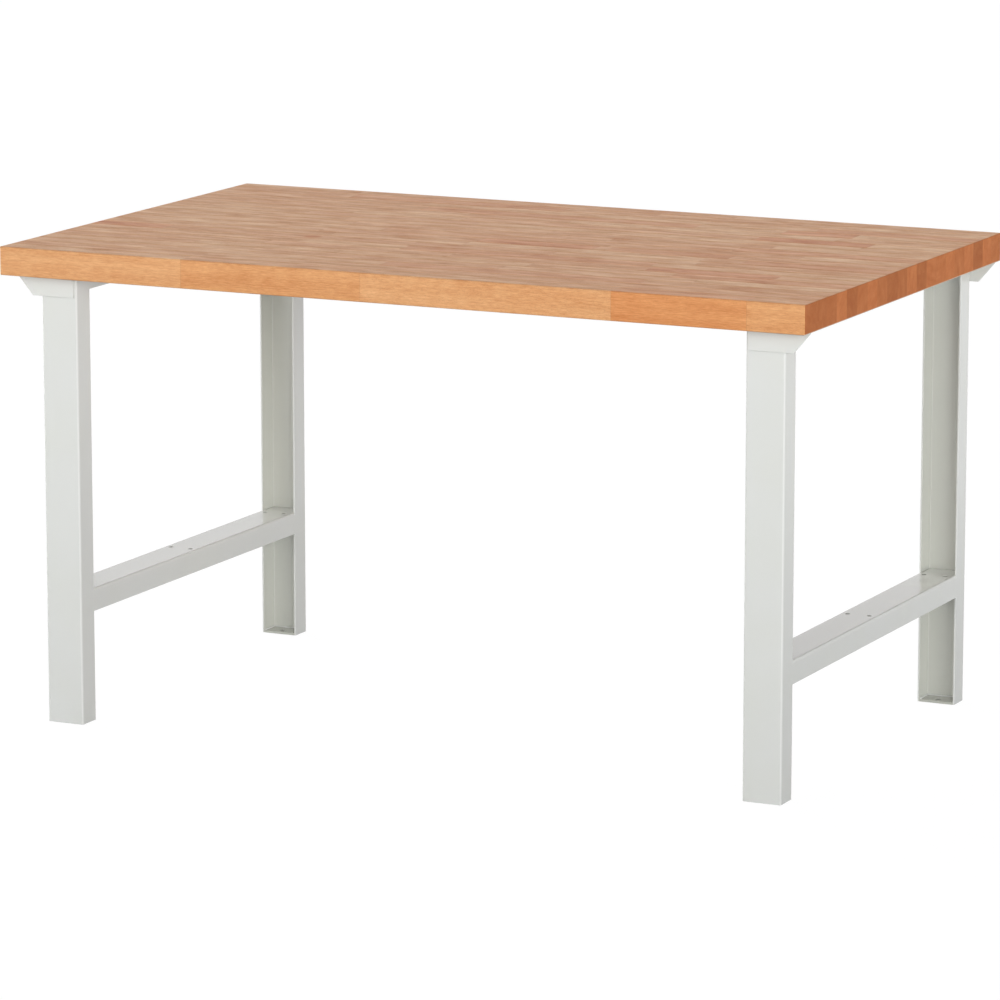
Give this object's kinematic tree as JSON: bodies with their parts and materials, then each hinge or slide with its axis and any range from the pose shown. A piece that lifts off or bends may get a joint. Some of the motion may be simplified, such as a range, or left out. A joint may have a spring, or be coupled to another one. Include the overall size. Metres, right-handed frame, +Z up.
{
  "type": "workbench",
  "caption": "Workbench with a glued beech stave top on two welded steel channel frames, each with two legs and a low side rail.",
  "frame": {"origin": "on the floor, under the middle of the top", "axes": "+X along the bench to its right end, +Y from front to back, +Z up"},
  "size_m": [1.5, 0.9, 0.84],
  "materials": {
    "beech": "oiled, satin",
    "powder_coat": "light grey powder coat, semi-gloss",
    "zinc": "bright zinc plate"
  },
  "bodies": {
    "root": {"left_back_foot_plate": "powder_coat", "left_back_leg": "powder_coat", "left_back_wing_plate": "powder_coat", "left_carrier": "powder_coat", "left_front_foot_plate": "powder_coat", "left_front_leg": "powder_coat", "left_front_wing_plate": "powder_coat", "left_rail": "powder_coat", "left_top_screw_1": "zinc", "left_top_screw_2": "zinc", "left_top_screw_3": "zinc", "left_top_screw_4": "zinc", "right_back_foot_plate": "powder_coat", "right_back_leg": "powder_coat", "right_back_wing_plate": "powder_coat", "right_carrier": "powder_coat", "right_front_foot_plate": "powder_coat", "right_front_leg": "powder_coat", "right_front_wing_plate": "powder_coat", "right_rail": "powder_coat", "right_top_screw_1": "zinc", "right_top_screw_2": "zinc", "right_top_screw_3": "zinc", "right_top_screw_4": "zinc", "stave_01": "beech", "stave_02": "beech", "stave_03": "beech", "stave_04": "beech", "stave_05": "beech", "stave_06": "beech", "stave_07": "beech", "stave_08": "beech", "stave_09": "beech", "stave_10": "beech", "stave_11": "beech", "stave_12": "beech", "stave_13": "beech", "stave_14": "beech", "stave_15": "beech", "stave_16": "beech", "stave_17": "beech", "stave_18": "beech", "stave_19": "beech", "stave_20": "beech"}
  },
  "joints": []
}
